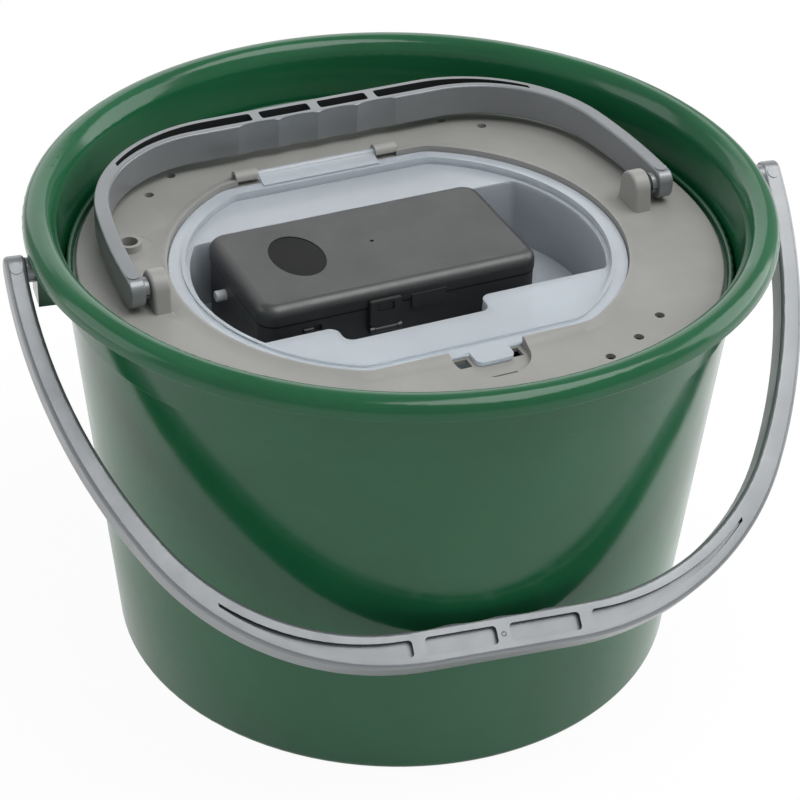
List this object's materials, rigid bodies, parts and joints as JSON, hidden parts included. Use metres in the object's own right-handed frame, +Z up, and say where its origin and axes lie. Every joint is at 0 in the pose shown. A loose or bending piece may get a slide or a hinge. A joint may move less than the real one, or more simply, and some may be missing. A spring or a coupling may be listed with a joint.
{
  "type": "aerated bait bucket",
  "caption": "Bait bucket with carrying bail, strainer basket, lid with its own bail, hinged clear tray and a battery air pump.",
  "frame": {"origin": "centre of the bucket's base, on the plane it stands on", "axes": "+Z up, -Y is the front where the carrying bail rests, +X along the lid's hinge lines"},
  "size_m": [0.3547, 0.3298, 0.219],
  "materials": {
    "bucket_green": "moulded green polypropylene, glossy",
    "basket_green": "moulded green polypropylene",
    "bail_grey": "moulded silver-grey plastic, satin gloss",
    "lid_grey": "moulded warm grey plastic",
    "tray_clear": "translucent natural polypropylene",
    "pump_black": "fine-textured black plastic",
    "drive_white": "white acetal",
    "nipple_white": "white plastic",
    "rubber_black": "black rubber",
    "tube_clear": "clear silicone",
    "steel": "bright steel",
    "zinc": "zinc-plated can",
    "brass": "bare brass strip",
    "cell_jacket": "plain printed jacket, left bare"
  },
  "bodies": {
    "bucket": {"outer_bucket": "bucket_green"},
    "carry_bail": {"outer_bail": "bail_grey"},
    "basket": {"strainer_basket": "basket_green"},
    "lid_plate": {"lid": "lid_grey"},
    "small_bail": {"lid_bail": "bail_grey"},
    "hatch": {"hatch_tray": "tray_clear"},
    "pump": {"pump_case": "pump_black", "cover_seal": "rubber_black", "cover_hinge_pins": "steel", "latch_pin": "steel", "switch_body": "pump_black", "motor": "zinc", "pump_head": "drive_white", "valve_sheet": "rubber_black", "air_nipple": "nipple_white", "outlet_tube": "tube_clear", "motor_clamp": "steel", "clamp_screws": "steel", "head_screws": "steel", "battery_cell_a": "cell_jacket", "battery_cell_b": "cell_jacket", "contact_springs": "steel", "contact_bridge": "steel", "terminal_plates": "steel", "conductor_strips": "brass"},
    "cover": {"pump_cover": "pump_black"},
    "latch": {"cover_latch": "pump_black"},
    "switch_slider": {"power_switch": "pump_black"},
    "rotor": {"motor_shaft": "steel", "eccentric": "drive_white"},
    "rod": {"drive_rod": "drive_white", "diaphragm": "rubber_black"}
  },
  "joints": [
    {"name": "carry_bail_swing", "type": "hinge", "parent": "bucket", "child": "carry_bail", "pos_m": [0.00297, -0.00041, 0.204], "axis": [-0.9905, 0.1374, 0], "range_deg": [0, 256]},
    {"name": "basket_lift", "type": "slide", "parent": "bucket", "child": "basket", "axis": [0, 0, 1], "range_m": [0, 0.2]},
    {"name": "lid_lift", "type": "slide", "parent": "basket", "child": "lid_plate", "axis": [0, 0, 1], "range_m": [0, 0.06]},
    {"name": "lid_bail_swing", "type": "hinge", "parent": "lid_plate", "child": "small_bail", "pos_m": [0.001, -0.0046, 0.2005], "axis": [1, 0, 0], "range_deg": [0, 175]},
    {"name": "hatch_open", "type": "hinge", "parent": "lid_plate", "child": "hatch", "pos_m": [-0.0067, 0.0824, 0.193], "axis": [-1, 0, 0], "range_deg": [0, 105]},
    {"name": "pump_lift", "type": "slide", "parent": "hatch", "child": "pump", "axis": [0, 0, 1], "range_m": [0, 0.045]},
    {"name": "cover_open", "type": "hinge", "parent": "pump", "child": "cover", "pos_m": [-0.013, 0.0391, 0.1853], "axis": [-1, 0, 0], "range_deg": [0, 50]},
    {"name": "latch_open", "type": "hinge", "parent": "pump", "child": "latch", "pos_m": [-0.0227, -0.0351, 0.1753], "axis": [1, 0, 0], "range_deg": [0, 100]},
    {"name": "switch_slide", "type": "slide", "parent": "pump", "child": "switch_slider", "axis": [1, 0, 0], "range_m": [0, 0.004]},
    {"name": "motor_turn", "type": "hinge", "parent": "pump", "child": "rotor", "pos_m": [-0.036, 0.012, 0.178], "axis": [0, 1, 0], "continuous": true},
    {"name": "rod_stroke", "type": "slide", "parent": "pump", "child": "rod", "axis": [1, 0, 0], "range_m": [-0.001, 0.001]}
  ]
}
